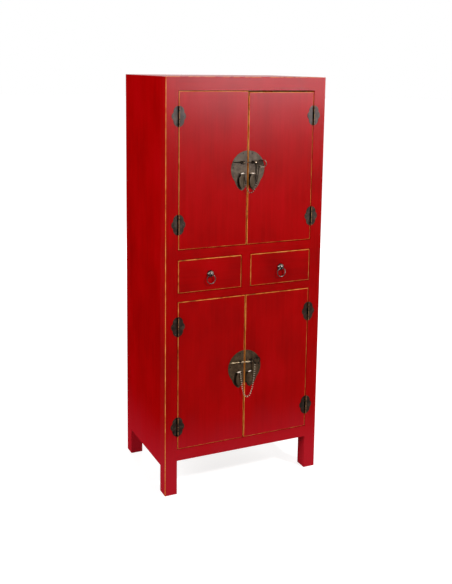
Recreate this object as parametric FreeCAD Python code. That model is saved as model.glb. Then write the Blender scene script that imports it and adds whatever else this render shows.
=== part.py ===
import FreeCAD, Part
import math
import os

vec = FreeCAD.Vector

# Sizes are in millimetres. X runs to the right, Y to the back and Z up.

# Whole cabinet
width = 500.0
depth = 345.0
height = 1210.0

# Frame, from the floor upwards
leg_width = 37.0
leg_depth = 40.0
side_clearance = 80.0
front_clearance = 103.0
bottom_rail_height = 34.0
lower_opening_height = 443.0
lower_rail_height = 23.0
drawer_opening_height = 97.4
upper_rail_height = 27.6
top_rail_height = 38.0
back_rail_height = 36.0
back_rail_depth = 18.0
divider_width = 27.0

# Wood joints
tenon_thickness = 8.0
tenon_length = 20.0
tenon_shoulder = 4.0
divider_tenon_length = 7.0
tongue_thickness = 5.0
tongue_length = 6.0
joint_clearance = 0.1
arris = 1.0

# Panels and boards
side_panel_thickness = 14.0
back_panel_thickness = 8.0
top_panel_thickness = 14.0
board_thickness = 12.0
board_clearance = 0.3
shelf_setback = 12.0
cleat_width = 14.0
cleat_height = 16.0
stop_lip = 4.0
stop_clearance = 0.4

# Doors
door_thickness = 18.0
door_gap = 1.7
centre_gap = 3.0
right_door_trim = 2.6
hinge_insets = {"upper": (71.3, 68.0), "lower": (69.0, 71.2)}

# Hinges
leaf_reach = 21.0
leaf_height = 58.0
leaf_thickness = 1.0
knuckle_radius = 2.5
knuckle_stand = 0.1
knuckle_clearance = 0.3
middle_knuckle_height = 19.0
barrel_height = 56.0
hinge_pin_radius = 1.0
hinge_pin_end = 0.8
running_clearance = 0.05
leaf_cusp_shares = (0.74, 0.36)
leaf_lobe_shares = (0.61, 0.76)
leaf_nail_shares = ((0.33, 0.72), (0.7, 0.0), (0.33, -0.72))

# Nails
nail_radius = 0.9
nail_head_radius = 1.7
nail_head_height = 0.9
nail_length = 9.0
nail_end_room = 0.3

# Lock plates
plate_radius = 53.0
plate_thickness = 1.0
plate_edge = 1.3
cusp_angle = -41.0
lobe_side_shares = (0.645, -0.905)
lobe_tip_shares = (0.36, -1.17)
lobe_inner_shares = (0.2, -1.06)
lobe_foot_shares = (0.13, -0.9)
plate_nail_share = 0.88
plate_nail_angles = (72.0, 6.0)

# Pins through both doors
pin_radius = 1.5
pin_rise = 19.2
pin_droop_angle = 2.3
pin_out = 8.0
pin_left = 52.0
pin_right = 27.0
pin_point_length = 9.0
pin_point_radius = 0.5
loop_radius = 10.0
loop_wire_radius = 1.3
loop_runs = {"upper": 8.5, "lower": 0.0}
loop_drops = {"upper": 2.6, "lower": -2.0}
eye_offset = 17.5
eye_strap_width = 5.0
eye_strap_thickness = 1.2
eye_crown_run = 1.2
eye_play = 0.3
staple_depth = 14.0

# Pendant handles and the staples that carry them
bar_offsets = {"upper_left": 19.6, "upper_right": 13.4, "lower_left": 20.2, "lower_right": 14.4}
bar_drops = {"upper_left": 12.0, "upper_right": 13.0, "lower_left": 11.0, "lower_right": 12.4}
bar_out = 4.8
bar_span = 16.0
bar_radius = 1.1
bar_bend = 2.4
barrel_length = 9.0
barrel_radius = 2.3
pendant_length = 44.0
pendant_half_width = 10.8
pendant_thickness = 1.5
pendant_hole_radius = 1.2
pendant_hole_drop = 8.0
pendant_neck_shares = (0.3, -0.085)
pendant_shoulder_shares = (0.8, -0.2)
pendant_widest_shares = (1.0, -0.46)
pendant_lower_shares = (0.77, -0.77)
pendant_turn_angles = {"upper_left": -17.0, "upper_right": -17.0, "lower_left": -19.0, "lower_right": 18.0}

# Latch chains
link_pitch = 3.4
link_wire_radius = 0.38
link_inner_width = 1.44
link_slack = 0.14
end_ring_radius = 3.5
end_ring_wire_radius = 0.5
chain_loop_angle = 225.0
chain_bar_offset = 5.3
chain_bar_out = 1.6
chain_lengths = {"upper": 139.4, "lower": 187.0}

# Drawers
drawer_front_thickness = 16.0
drawer_side_thickness = 10.0
drawer_bottom_thickness = 5.0
drawer_side_inset = 1.6
drawer_side_drop = 9.0
drawer_back_drop = 7.0
drawer_groove_rise = 8.0
drawer_groove_depth = 4.0
drawer_tongue = 6.0
runner_clearance = 0.3
guide_clearance = 0.8
runner_width = 22.0
guide_rise = 36.0

# Drawer pulls
pull_radius = 10.0
pull_rise = 2.0
pull_stem_radius = 2.2
pull_washer_radius = 6.0
pull_washer_thickness = 1.6
ring_radius = 13.0
ring_wire_radius = 1.3
ring_out = 7.0
ring_drop = 2.4
ring_swing_back = 8.0
ring_swing_out = 95.0

# Cutting tools run this far past a face
overrun = 2.0
# Two places nearer than this are the same
same_place = 1e-6

# Places worked out from the sizes above
pin_droop = math.radians(pin_droop_angle)
eye_reach = eye_offset + eye_strap_width / 2
eye_bore_radius = pin_radius / math.cos(pin_droop) + eye_reach * math.tan(pin_droop) + eye_play
eye_radius = eye_bore_radius + eye_strap_thickness
eye_out = plate_thickness + pin_out + eye_crown_run + eye_radius
front_y = (eye_out - depth) / 2
back_y = front_y + depth
side_x = width / 2
leg_x = side_x - leg_width
leg_front_y = front_y + leg_depth
leg_back_y = back_y - leg_depth
panel_x = side_x - side_panel_thickness
rail_depth = door_thickness + stop_clearance
rail_y = front_y + rail_depth
back_rail_y = back_y - back_rail_depth
lower_opening_z = front_clearance + bottom_rail_height
lower_rail_z = lower_opening_z + lower_opening_height
drawer_opening_z = lower_rail_z + lower_rail_height
upper_rail_z = drawer_opening_z + drawer_opening_height
upper_opening_z = upper_rail_z + upper_rail_height
top_rail_z = height - top_rail_height
door_x = leg_x - door_gap
door_inner_x = centre_gap / 2
axis_x = leg_x - door_gap / 2
axis_y = front_y - knuckle_radius - knuckle_stand
plate_y = front_y - plate_thickness
pin_y = plate_y - pin_out
bar_y = plate_y - bar_out
drawer_inner_x = divider_width / 2 + door_gap
drawer_middle_x = (drawer_inner_x + door_x) / 2
drawer_box_length = depth - back_rail_depth - drawer_front_thickness - stop_clearance
drawer_bottom_z = drawer_opening_z + door_gap
drawer_top_z = upper_rail_z - door_gap
pull_z = (drawer_bottom_z + drawer_top_z) / 2 + pull_rise
ring_y = front_y - ring_out
ring_z = pull_z - ring_drop
end_ring_reach = end_ring_radius - end_ring_wire_radius - link_slack / 2
sides = {"left": -1, "right": 1}
levels = {
    "upper": (upper_opening_z + door_gap, top_rail_z - door_gap),
    "lower": (lower_opening_z + door_gap, lower_rail_z - door_gap),
}
front_rails = {
    "bottom": (front_clearance, lower_opening_z),
    "lower": (lower_rail_z, drawer_opening_z),
    "upper": (upper_rail_z, upper_opening_z),
    "top": (top_rail_z, height),
}
back_rails = {
    "bottom": (front_clearance, front_clearance + back_rail_height),
    "middle": (drawer_opening_z, drawer_opening_z + back_rail_height),
    "top": (height - back_rail_height, height),
}
board_tops = {
    "lower_floor": lower_opening_z + stop_lip,
    "lower_ceiling": lower_rail_z - stop_lip + board_thickness,
    "upper_floor": upper_opening_z + stop_lip,
    "lower_shelf": (lower_opening_z + lower_rail_z) / 2,
    "upper_shelf": (upper_opening_z + top_rail_z) / 2,
}


def block(xs, ys, zs):
    """A box between two places on each axis."""
    low = vec(min(xs), min(ys), min(zs))
    return Part.makeBox(max(xs) - min(xs), max(ys) - min(ys), max(zs) - min(zs), low)


def rod(radius, start, end):
    """A round bar from one point to another."""
    return Part.makeCylinder(radius, (end - start).Length, start, end - start)


def joined(first, *others):
    """One solid made of several that meet."""
    return first.fuse(list(others)).removeSplitter()


def plate(start, steps, y_near, y_far):
    """A flat plate in the XZ plane. Each step is an end point, or a middle point and an end point."""
    edges = []
    here = start
    for step in steps:
        a = vec(here[0], y_near, here[1])
        c = vec(step[-1][0], y_near, step[-1][1])
        if len(step) == 2:
            b = vec(step[0][0], y_near, step[0][1])
            edges.append(Part.Arc(a, b, c).toShape())
        else:
            edges.append(Part.makeLine(a, c))
        here = step[-1]
    face = Part.Face(Part.Wire(edges))
    return face.extrude(vec(0, y_far - y_near, 0))


def scaled(shares, across, along):
    """A point written as shares of two sizes."""
    return (shares[0] * across, shares[1] * along)


def swept_rod(edges, radius, start, direction):
    """A round bar along a path of edges."""
    profile = Part.Wire(Part.makeCircle(radius, start, direction))
    return Part.Wire(edges).makePipeShell([profile], True, False)


def rounded_path(points, bend):
    """Straight runs joined by arcs that meet them smoothly."""
    edges = []
    here = points[0]
    for before, corner, after in zip(points, points[1:], points[2:]):
        back = (before - corner).normalize()
        on = (after - corner).normalize()
        half_turn = (math.pi - back.getAngle(on)) / 2
        begin = corner + back * (bend * math.tan(half_turn))
        end = corner + on * (bend * math.tan(half_turn))
        middle = corner + (back + on).normalize() * (bend / math.cos(half_turn) - bend)
        edges.append(Part.makeLine(here, begin))
        edges.append(Part.Arc(begin, middle, end).toShape())
        here = end
    edges.append(Part.makeLine(here, points[-1]))
    return edges


def near(a, b):
    """True where two places are the same but for rounding."""
    return abs(a - b) < same_place


def edges_at(shape, test):
    """The straight edges whose two ends both pass a test."""
    return [e for e in shape.Edges if all(test(v.Point) for v in e.Vertexes)]


def level_centre(level):
    """The height of a door's middle, where its lock plate sits."""
    low, high = levels[level]
    return (low + high) / 2


def door_span(level, side_name):
    """The lowest and highest point of one door."""
    low, high = levels[level]
    trim = right_door_trim if (level, side_name) == ("upper", "right") else 0
    return low, high - trim


def hinge_heights(level, side_name):
    """The middles of the two hinges of one door."""
    low, high = door_span(level, side_name)
    low_inset, high_inset = hinge_insets[level]
    return (low + low_inset, high - high_inset)


# Frame


def rail_tenons(zs, y0, y1, grow=0.0):
    """The two tenons of a rail between the legs, or with grow their mortises."""
    middle = (y0 + y1) / 2
    half = tenon_thickness / 2 + grow
    ys = (middle - half, middle + half)
    z_pair = (min(zs) + tenon_shoulder - grow, max(zs) - tenon_shoulder + grow)
    length = leg_x + tenon_length + grow
    return [block((side * leg_x, side * length), ys, z_pair) for side in sides.values()]


def rail(zs, y0, y1):
    """A rail between the legs with a tenon at each end."""
    bar = block((-leg_x, leg_x), (y0, y1), zs)
    return joined(bar, *rail_tenons(zs, y0, y1))


def divider_tenons(grow=0.0):
    """The upper and lower tenon of the post between the drawers, or with grow their mortises."""
    half = divider_width / 2 - tenon_shoulder + grow
    middle = (front_y + rail_y) / 2
    ys = (middle - tenon_thickness / 2 - grow, middle + tenon_thickness / 2 + grow)
    reach = divider_tenon_length + grow
    low = block((-half, half), ys, (drawer_opening_z - reach, drawer_opening_z))
    high = block((-half, half), ys, (upper_rail_z, upper_rail_z + reach))
    return [low, high]


def side_tongues(side, grow=0.0):
    """The two upright tongues of a side panel, or with grow their grooves in the legs."""
    middle = side_x - side_panel_thickness / 2
    half = tongue_thickness / 2 + grow
    xs = (side * (middle - half), side * (middle + half))
    reach = tongue_length + grow
    zs = (side_clearance - grow, height)
    front = block(xs, (leg_front_y - reach, leg_front_y), zs)
    back = block(xs, (leg_back_y, leg_back_y + reach), zs)
    return [front, back]


def back_panel_block(low_rail, high_rail, grow=0.0):
    """One back panel with the edges that sit in grooves, or with grow the grooved space."""
    middle = (back_rail_y + back_y) / 2
    half = back_panel_thickness / 2 + grow
    reach = leg_x + tongue_length + grow
    zs = (
        back_rails[low_rail][1] - tongue_length - grow,
        back_rails[high_rail][0] + tongue_length + grow,
    )
    return block((-reach, reach), (middle - half, middle + half), zs)


def back_grooves():
    """The space that both back panels take out of the back frame."""
    return [
        back_panel_block("bottom", "middle", joint_clearance),
        back_panel_block("middle", "top", joint_clearance),
    ]


def nail_places(side, middle_z, outward):
    """The three nails of one hinge leaf. outward is 1 on the leg and -1 on the door."""
    return [
        (side * (axis_x + outward * share[0] * leaf_reach), middle_z + share[1] * leaf_height / 2)
        for share in leaf_nail_shares
    ]


def nail(place, y_face):
    """A nail with a low head on a metal face."""
    x, z = place
    head = Part.makeCone(
        nail_head_radius, nail_radius, nail_head_height, vec(x, y_face, z), vec(0, -1, 0)
    )
    return joined(head, rod(nail_radius, vec(x, y_face, z), vec(x, y_face + nail_length, z)))


def nail_hole(place, y_face):
    """The hole for a nail, a little deeper than its point."""
    x, z = place
    start = vec(x, y_face - overrun, z)
    end = vec(x, y_face + nail_length + nail_end_room, z)
    return rod(nail_radius + joint_clearance, start, end)


def frame_nail_places(side_name):
    """All the nails that hold hinges to one leg."""
    side = sides[side_name]
    return [
        place
        for level in levels
        for z in hinge_heights(level, side_name)
        for place in nail_places(side, z, 1)
    ]


def leg(side_name, at_front):
    """One full-height leg with its mortises, grooves and nail holes."""
    side = sides[side_name]
    ys = (front_y, leg_front_y) if at_front else (leg_back_y, back_y)
    post = block((side * leg_x, side * side_x), ys, (0, height))
    outer_y = front_y if at_front else back_y
    corner = edges_at(post, lambda p: near(abs(p.x), side_x) and near(p.y, outer_y))
    post = post.makeChamfer(arris, corner)
    if at_front:
        rails, ys = front_rails, (front_y, rail_y)
        holes = [nail_hole(place, front_y - leaf_thickness) for place in frame_nail_places(side_name)]
    else:
        rails, ys = back_rails, (back_rail_y, back_y)
        holes = back_grooves()
    for zs in rails.values():
        holes += rail_tenons(zs, *ys, joint_clearance)
    return post.cut(holes + side_tongues(side, joint_clearance))


def front_rail(name):
    """One front rail, with mortises where the drawer divider stands."""
    bar = rail(front_rails[name], front_y, rail_y)
    if name in ("lower", "upper"):
        bar = bar.cut(divider_tenons(joint_clearance))
    if name == "top":
        top_front = edges_at(bar, lambda p: near(p.y, front_y) and near(p.z, height))
        bar = bar.makeChamfer(arris, top_front)
    return bar


def drawer_divider():
    """The short post between the two drawers."""
    post = block(
        (-divider_width / 2, divider_width / 2), (front_y, rail_y), (drawer_opening_z, upper_rail_z)
    )
    return joined(post, *divider_tenons())


def back_rail(name):
    """One back rail with grooves for the panels beside it."""
    return rail(back_rails[name], back_rail_y, back_y).cut(back_grooves())


def side_panel(side_name):
    """A side board flush with the legs, let into them with a tongue at each edge."""
    side = sides[side_name]
    board = block((side * panel_x, side * side_x), (leg_front_y, leg_back_y), (side_clearance, height))
    return joined(board, *side_tongues(side))


# Boards inside


def fitted_board(top_z, thickness, y_near):
    """A board from side panel to side panel, notched round the legs."""
    reach = panel_x - board_clearance
    zs = (top_z - thickness, top_z)
    board = block((-reach, reach), (y_near, back_rail_y - board_clearance), zs)
    notches = []
    for side in sides.values():
        xs = (side * (leg_x - board_clearance), side * side_x)
        notches.append(block(xs, (front_y, leg_front_y + board_clearance), zs))
        notches.append(block(xs, (leg_back_y - board_clearance, back_y), zs))
    return board.cut(notches)


def cupboard_board(name):
    """One of the boards that close or divide the cupboards."""
    setback = shelf_setback if name.endswith("shelf") else 0
    return fitted_board(board_tops[name], board_thickness, rail_y + setback)


def top_panel():
    """The top board, level with the frame's upper edges."""
    return fitted_board(height, top_panel_thickness, rail_y + board_clearance)


def cleats():
    """Battens on the side panels that carry every board."""
    undersides = [top - board_thickness for top in board_tops.values()]
    undersides.append(height - top_panel_thickness)
    ys = (leg_front_y, leg_back_y)
    return [
        block((side * (panel_x - cleat_width), side * panel_x), ys, (z - cleat_height, z))
        for z in undersides
        for side in sides.values()
    ]


def drawer_guides():
    """Runners under the drawers with a rib beside each drawer's side."""
    floor_z = board_tops["lower_ceiling"]
    rib_z = drawer_opening_z + guide_rise
    ys = (rail_y, back_rail_y - board_clearance)
    runner_zs = (floor_z, drawer_opening_z)
    guides = []
    for side in sides.values():
        edge = door_x - drawer_side_inset + guide_clearance
        runner = block((side * (edge - runner_width), side * edge), ys, runner_zs)
        rib = block((side * edge, side * panel_x), (leg_front_y, leg_back_y), (floor_z, rib_z))
        guides.append(joined(runner, rib))
    inner = drawer_inner_x + drawer_side_inset - guide_clearance
    runner = block((-inner - runner_width, inner + runner_width), ys, runner_zs)
    guides.append(joined(runner, block((-inner, inner), ys, (drawer_opening_z, rib_z))))
    return guides


# Hinges


def knuckle_spans():
    """Heights of the lower, middle and upper knuckle, measured from the hinge's middle."""
    inner = middle_knuckle_height / 2
    outer = inner + knuckle_clearance
    end = barrel_height / 2
    return [(-end, -outer), (-inner, inner), (outer, end)]


def hinge_leaf(side, middle_z, outward, spans):
    """One scalloped leaf with its knuckles on straps. outward is 1 on the leg and -1 on the door."""
    half = leaf_height / 2
    notch = knuckle_radius + knuckle_clearance

    def place(u, v):
        return (side * (axis_x + outward * u), middle_z + v)

    cusp = scaled(leaf_cusp_shares, leaf_reach, half)
    lobe = scaled(leaf_lobe_shares, leaf_reach, half)
    steps = [
        (place(*lobe), place(*cusp)),
        (place(leaf_reach, 0), place(cusp[0], -cusp[1])),
        (place(lobe[0], -lobe[1]), place(notch, -half)),
        (place(notch, half),),
    ]
    leaf = plate(place(notch, half), steps, front_y, front_y - leaf_thickness)
    parts = []
    for low, high in spans:
        zs = (middle_z + low, middle_z + high)
        ends = (side * axis_x, side * (axis_x + outward * (notch + leaf_thickness)))
        parts.append(block(ends, (front_y, front_y - leaf_thickness), zs))
        x = side * axis_x
        parts.append(rod(knuckle_radius, vec(x, axis_y, zs[0]), vec(x, axis_y, zs[1])))
    bore = rod(
        hinge_pin_radius + running_clearance,
        vec(side * axis_x, axis_y, middle_z - leaf_height),
        vec(side * axis_x, axis_y, middle_z + leaf_height),
    )
    holes = [nail_hole(p, front_y - leaf_thickness) for p in nail_places(side, middle_z, outward)]
    return joined(leaf, *parts).cut([bore] + holes)


def frame_leaves():
    """The hinge leaves on the legs, with the outer knuckles."""
    low, _, high = knuckle_spans()
    return [
        hinge_leaf(side, z, 1, [low, high])
        for name, side in sides.items()
        for level in levels
        for z in hinge_heights(level, name)
    ]


def door_leaves(level, side_name):
    """The two hinge leaves on a door, with the middle knuckle."""
    middle = knuckle_spans()[1]
    return [hinge_leaf(sides[side_name], z, -1, [middle]) for z in hinge_heights(level, side_name)]


def hinge_pins():
    """The pins on which the doors turn."""
    half = barrel_height / 2 + hinge_pin_end
    return [
        rod(hinge_pin_radius, vec(side * axis_x, axis_y, z - half), vec(side * axis_x, axis_y, z + half))
        for name, side in sides.items()
        for level in levels
        for z in hinge_heights(level, name)
    ]


def frame_nails():
    """The nails of the hinge leaves on the legs."""
    return [
        nail(place, front_y - leaf_thickness) for name in sides for place in frame_nail_places(name)
    ]


# Doors and what is nailed to them


def leaf_nail_places(level, side_name):
    """The nails of the two hinge leaves on a door."""
    return [
        place
        for z in hinge_heights(level, side_name)
        for place in nail_places(sides[side_name], z, -1)
    ]


def plate_nail_places(level, side_name):
    """The nails near the rim of half a lock plate."""
    reach = plate_nail_share * plate_radius
    return [
        (
            sides[side_name] * reach * math.cos(math.radians(angle)),
            level_centre(level) + reach * math.sin(math.radians(angle)),
        )
        for angle in plate_nail_angles
    ]


def door_nails(level, side_name):
    """All the nails of one door."""
    nails = [nail(p, front_y - leaf_thickness) for p in leaf_nail_places(level, side_name)]
    return nails + [nail(p, plate_y) for p in plate_nail_places(level, side_name)]


def eye_body(level, side, radius, width, depth):
    """A round crown along X with a straight-sided body behind it, which ends depth behind the plate's face."""
    x = side * eye_offset
    z = level_centre(level) + pin_rise
    xs = (x - width / 2, x + width / 2)
    y = pin_y - eye_crown_run
    crown = rod(radius, vec(xs[0], y, z), vec(xs[1], y, z))
    return joined(crown, block(xs, (y, plate_y + depth), (z - radius, z + radius)))


def eye_slots(level, side):
    """The two slots in the plate and the door for the legs of a pin eye."""
    width = eye_strap_width + 2 * joint_clearance
    depth = staple_depth + nail_end_room
    outside = eye_body(level, side, eye_radius + joint_clearance, width, depth)
    return outside.cut(eye_body(level, side, eye_bore_radius - joint_clearance, width, depth + overrun))


def bar_centre(level, side_name):
    """The middle of the bar that carries a pendant."""
    door = f"{level}_{side_name}"
    return vec(sides[side_name] * bar_offsets[door], bar_y, level_centre(level) - bar_drops[door])


def bar_leg_ends(level, side_name):
    """The two points inside the door where the legs of a pendant's staple end."""
    centre = bar_centre(level, side_name)
    return [vec(centre.x + sign * bar_span / 2, plate_y + staple_depth, centre.z) for sign in (-1, 1)]


def staple_holes(level, side_name):
    """The holes for all four staple legs of one door."""
    holes = [eye_slots(level, sides[side_name])]
    for end in bar_leg_ends(level, side_name):
        start = vec(end.x, plate_y - overrun, end.z)
        deep = vec(end.x, end.y + nail_end_room, end.z)
        holes.append(rod(bar_radius + joint_clearance, start, deep))
    return holes


def door_board(level, side_name):
    """One flat door with softened front edges and its holes."""
    side = sides[side_name]
    zs = door_span(level, side_name)
    board = block((side * door_inner_x, side * door_x), (front_y, front_y + door_thickness), zs)
    board = board.makeChamfer(arris, edges_at(board, lambda p: near(p.y, front_y)))
    holes = [nail_hole(p, front_y - leaf_thickness) for p in leaf_nail_places(level, side_name)]
    holes += [nail_hole(p, plate_y) for p in plate_nail_places(level, side_name)]
    return board.cut(holes + staple_holes(level, side_name))


def lock_plate(level, side_name):
    """Half of the round lock plate, with the lobe behind the pendant."""
    side = sides[side_name]
    centre = level_centre(level)
    edge = door_inner_x + plate_edge

    def place(u, v):
        return (side * u, centre + v)

    def on_rim(angle):
        turn = math.radians(angle)
        return place(plate_radius * math.cos(turn), plate_radius * math.sin(turn))

    start_angle = math.degrees(math.acos(edge / plate_radius))
    tip = place(*scaled(lobe_tip_shares, plate_radius, plate_radius))
    foot = scaled(lobe_foot_shares, plate_radius, plate_radius)
    steps = [
        (on_rim((start_angle + cusp_angle) / 2), on_rim(cusp_angle)),
        (place(*scaled(lobe_side_shares, plate_radius, plate_radius)), tip),
        (place(*scaled(lobe_inner_shares, plate_radius, plate_radius)), place(*foot)),
        (place(edge, foot[1]),),
        (on_rim(start_angle),),
    ]
    blank = plate(on_rim(start_angle), steps, front_y, plate_y)
    holes = [nail_hole(p, plate_y) for p in plate_nail_places(level, side_name)]
    return blank.cut(holes + staple_holes(level, side_name))


def pin_eye(level, side):
    """The bent strap that the latch pin goes through."""
    outside = eye_body(level, side, eye_radius, eye_strap_width, staple_depth)
    inside = eye_body(level, side, eye_bore_radius, eye_strap_width + overrun, staple_depth + overrun)
    return outside.cut(inside)


def pendant_staple(level, side_name):
    """The flat wire staple whose bar carries a pendant."""
    left, right = bar_leg_ends(level, side_name)
    points = [left, vec(left.x, bar_y, left.z), vec(right.x, bar_y, right.z), right]
    return swept_rod(rounded_path(points, bar_bend), bar_radius, left, points[1] - left)


def staples(level, side_name):
    """Both staples of one door."""
    return [pin_eye(level, sides[side_name]), pendant_staple(level, side_name)]


def pendant(level, side_name):
    """A leaf-shaped handle rolled round its bar and turned a little on its neck."""
    centre = bar_centre(level, side_name)

    def place(shares, sign):
        return (centre.x + sign * shares[0] * pendant_half_width, centre.z + shares[1] * pendant_length)

    neck = pendant_neck_shares
    tip = (centre.x, centre.z - pendant_length)
    steps = [
        (place(neck, 1),),
        (place(pendant_shoulder_shares, 1), place(pendant_widest_shares, 1)),
        (place(pendant_lower_shares, 1), tip),
        (place(pendant_lower_shares, -1), place(pendant_widest_shares, -1)),
        (place(pendant_shoulder_shares, -1), place(neck, -1)),
        (place((neck[0], 0), -1),),
        (place((neck[0], 0), 1),),
    ]
    y_near, y_far = bar_y - pendant_thickness / 2, bar_y + pendant_thickness / 2
    blade = plate(place((neck[0], 0), 1), steps, y_near, y_far)
    hole_z = centre.z - pendant_hole_drop
    start = vec(centre.x, y_near - overrun, hole_z)
    blade = blade.cut(rod(pendant_hole_radius, start, vec(centre.x, y_far + overrun, hole_z)))
    blade.rotate(centre, vec(0, 0, -1), pendant_turn_angles[f"{level}_{side_name}"])
    half = vec(barrel_length / 2, 0, 0)
    barrel = rod(barrel_radius, centre - half, centre + half)
    bore = rod(bar_radius + running_clearance, centre - half * 2, centre + half * 2)
    return joined(blade, barrel).cut(bore)


# Latch pins and their chains


def wire_loop(bend, half_run, radius):
    """Two half rings of wire around the origin, in the XZ plane, with straight runs along Z between them."""
    upper = Part.makeTorus(bend, radius, vec(0, 0, half_run), vec(0, -1, 0), 0, 360, 180)
    upper.rotate(vec(0, 0, half_run), vec(0, 1, 0), -90)
    lower = upper.copy()
    lower.rotate(vec(0, 0, 0), vec(0, 1, 0), 180)
    xs = (-bend, bend) if half_run > 0 else ()
    return joined(upper, lower, *[rod(radius, vec(x, 0, -half_run), vec(x, 0, half_run)) for x in xs])


def beside_pin(level, reach, rise=0.0):
    """A place reach along the drooping line of a latch pin, from between the doors, and rise above it."""
    x = reach * math.cos(pin_droop) + rise * math.sin(pin_droop)
    z = rise * math.cos(pin_droop) - reach * math.sin(pin_droop)
    return vec(x, pin_y, level_centre(level) + pin_rise + z)


def loop_centre(level, along=0.0):
    """The middle of the first bend of the loop at the end of a latch pin, or a place along from there."""
    drop = loop_drops[level]
    return beside_pin(level, pin_right + math.sqrt(loop_radius**2 - drop**2) + along, -drop)


def latch_pin(level):
    """A pointed rod through both doors' eyes, ending in a round or oval loop."""
    point = beside_pin(level, -pin_left)
    shank = beside_pin(level, pin_point_length - pin_left)
    taper = Part.makeCone(pin_point_radius, pin_radius, pin_point_length, point, shank - point)
    half_run = loop_runs[level] / 2
    ring = wire_loop(loop_radius, half_run, loop_wire_radius)
    ring.rotate(vec(0, 0, 0), vec(0, 1, 0), 90 + pin_droop_angle)
    ring.translate(loop_centre(level, half_run))
    return joined(taper, rod(pin_radius, shank, beside_pin(level, pin_right)), ring)


def chain_ends(level):
    """Where the first and last link meet the end rings, from the bar to the pin's loop."""
    play = end_ring_radius - end_ring_wire_radius - bar_radius - link_slack
    hang = math.sqrt(play**2 - chain_bar_out**2)
    first = bar_centre(level, "left") + vec(chain_bar_offset, -chain_bar_out, -hang - end_ring_reach)
    turn = math.radians(chain_loop_angle)
    inside = loop_radius - loop_wire_radius - end_ring_wire_radius - link_slack
    hold = loop_centre(level) + vec(math.cos(turn), 0, math.sin(turn)) * inside
    return first, hold - vec(0, 0, end_ring_radius + end_ring_reach)


def link_count(level):
    """The odd number of links that comes nearest to a chain's length, so both end links face alike."""
    pairs = round((chain_lengths[level] / link_pitch - 1) / 2)
    return 2 * pairs + 1


def hanging_points(first, last, count):
    """Evenly spaced points on the curve that a chain of count pitches takes between two ends."""
    length = count * link_pitch
    across = math.hypot(last.x - first.x, last.y - first.y)
    rise = last.z - first.z
    wanted = math.sqrt(length**2 - rise**2)
    small, large = across / 100, across * 100
    for _ in range(200):
        scale = (small + large) / 2
        reach = 2 * scale * math.sinh(min(across / (2 * scale), 300))
        if reach > wanted:
            small = scale
        else:
            large = scale
    shift = scale * math.atanh(rise / length) - across / 2
    start = scale * math.sinh(shift / scale)
    points = []
    for i in range(count + 1):
        along = scale * math.asinh((start + i * link_pitch) / scale)
        share = (along - shift) / across
        drop = scale * (math.cosh(along / scale) - math.cosh(shift / scale))
        points.append(first + vec(share * (last.x - first.x), share * (last.y - first.y), drop))
    return points


def link_blank():
    """One chain link, long along Z and wide along X."""
    bend = link_inner_width / 2 + link_wire_radius
    half = link_pitch / 2 + link_wire_radius + link_slack / 2 - bend
    return wire_loop(bend, half, link_wire_radius)


def latch_chain(level):
    """A ring on the bar, the hanging links and a ring on the pin's loop."""
    first, last = chain_ends(level)
    count = link_count(level)
    points = hanging_points(first, last, count)
    blank = link_blank()
    solids = []
    for i, (a, b) in enumerate(zip(points, points[1:])):
        along = (b - a).normalize()
        flat = along.cross(vec(0, 1, 0)).normalize()
        across = flat if i % 2 == 0 else along.cross(flat).normalize()
        turn = FreeCAD.Rotation(across, along.cross(across), along, "ZXY")
        link = blank.copy()
        link.Placement = FreeCAD.Placement((a + b) / 2, turn)
        solids.append(link)
    for end in (first, last):
        centre = end + vec(0, 0, end_ring_reach)
        solids.append(Part.makeTorus(end_ring_radius, end_ring_wire_radius, centre, vec(1, 0, 0)))
    lowest = min(p.z for p in points)
    print(level, "chain:", round(count * link_pitch, 1), "mm, lowest", round(lowest - level_centre(level), 1))
    return solids


# Drawers


def drawer_spans(side):
    """The inner and outer side of one drawer box, counted from the divider."""
    return side * (drawer_inner_x + drawer_side_inset), side * (door_x - drawer_side_inset)


def drawer_side_tongue(x_near, side_sign, grow=0.0):
    """The part of a drawer side that sits in the drawer front, or with grow its groove."""
    xs = (x_near - side_sign * grow, x_near + side_sign * (drawer_side_thickness + grow))
    y = front_y + drawer_front_thickness
    zs = (drawer_bottom_z + tenon_shoulder - grow, drawer_side_top() + grow)
    return block(xs, (y - drawer_tongue - grow, y + grow), zs)


def drawer_side_top():
    """The upper edge of a drawer's side boards."""
    return drawer_top_z - drawer_side_drop


def drawer_bottom_block(side, grow=0.0):
    """The drawer's bottom board, or with grow the grooves that hold it."""
    inner, outer = drawer_spans(side)
    reach = drawer_side_thickness - drawer_groove_depth - grow
    xs = (inner + side * reach, outer - side * reach)
    z = drawer_opening_z + runner_clearance + drawer_groove_rise
    y = front_y + drawer_front_thickness
    ys = (y - drawer_groove_depth - grow, y + drawer_box_length + grow)
    return block(xs, ys, (z - grow, z + drawer_bottom_thickness + grow))


def drawer_front(side_name):
    """The drawer's front with its grooves and the hole for the pull."""
    side = sides[side_name]
    board = block(
        (side * drawer_inner_x, side * door_x),
        (front_y, front_y + drawer_front_thickness),
        (drawer_bottom_z, drawer_top_z),
    )
    board = board.makeChamfer(arris, edges_at(board, lambda p: near(p.y, front_y)))
    inner, outer = drawer_spans(side)
    x = side * drawer_middle_x
    hole = rod(
        pull_stem_radius + joint_clearance,
        vec(x, front_y - overrun, pull_z),
        vec(x, front_y + drawer_front_thickness + overrun, pull_z),
    )
    tools = [
        drawer_side_tongue(inner, side, joint_clearance),
        drawer_side_tongue(outer, -side, joint_clearance),
        drawer_bottom_block(side, joint_clearance),
        hole,
    ]
    return board.cut(tools)


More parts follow.
